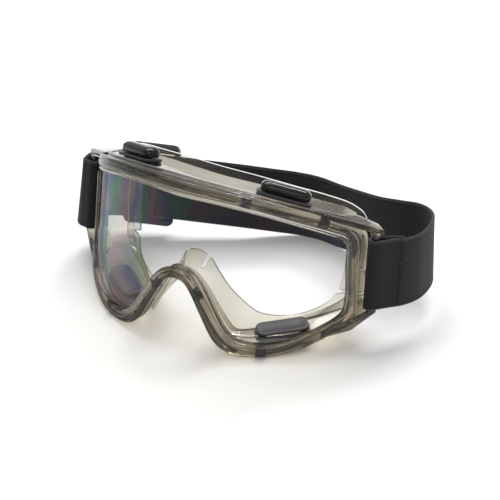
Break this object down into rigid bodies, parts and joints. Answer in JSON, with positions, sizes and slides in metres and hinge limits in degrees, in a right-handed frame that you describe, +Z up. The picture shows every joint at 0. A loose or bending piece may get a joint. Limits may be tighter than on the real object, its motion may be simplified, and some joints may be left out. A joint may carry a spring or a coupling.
{
  "type": "safety goggles",
  "caption": "Over-glasses safety goggles with a wrap-round clear lens, smoke frame, thin face skirt, covered indirect vents and an adjustable elastic headband.",
  "frame": {"origin": "middle of the footprint, on the surface that the goggles stand on", "axes": "+X towards the wearer's left, -Y the way the lens faces, +Z up"},
  "size_m": [0.1939, 0.1327, 0.0913],
  "materials": {
    "smoke_frame": "glossy translucent smoke grey vinyl moulding",
    "pale_skirt": "thin clear vinyl with a slight warm grey tint",
    "clear_lens": "clear coated polycarbonate with a faint violet and green sheen",
    "black_plastic": "gloss black moulded plastic",
    "webbing": "black woven elastic, fine ribs and a fine selvedge",
    "thread": "black sewing thread"
  },
  "bodies": {
    "frame": {"frame_rim": "smoke_frame", "frame_shell": "smoke_frame", "face_skirt": "pale_skirt", "strap_lug_left": "smoke_frame", "strap_lug_right": "smoke_frame", "lens": "clear_lens", "vent_seat_top_left": "black_plastic", "vent_seat_top_right": "black_plastic", "vent_seat_bottom_left": "black_plastic", "vent_seat_bottom_right": "black_plastic", "vent_cap_top_left": "black_plastic", "vent_cap_top_right": "black_plastic", "vent_cap_bottom_left": "black_plastic", "vent_cap_bottom_right": "black_plastic", "headband_loop_left": "webbing", "headband_return_ply": "webbing", "headband_loop_right": "webbing", "loop_stitching": "thread"},
    "headband": {"headband_back": "webbing"},
    "buckle": {"slide_buckle": "black_plastic"}
  },
  "joints": [
    {"name": "headband_stretch", "type": "slide", "parent": "frame", "child": "headband", "axis": [0, 1, 0], "range_m": [0, 0.04], "stiffness_N_per_m": 150, "deforming": ["headband_loop_left", "headband_loop_right", "headband_return_ply"]},
    {"name": "buckle_slide", "type": "slide", "parent": "headband", "child": "buckle", "axis": [0.8808, 0.4602, -0.1111], "range_m": [0, 0.03], "deforming": ["headband_return_ply"]}
  ]
}
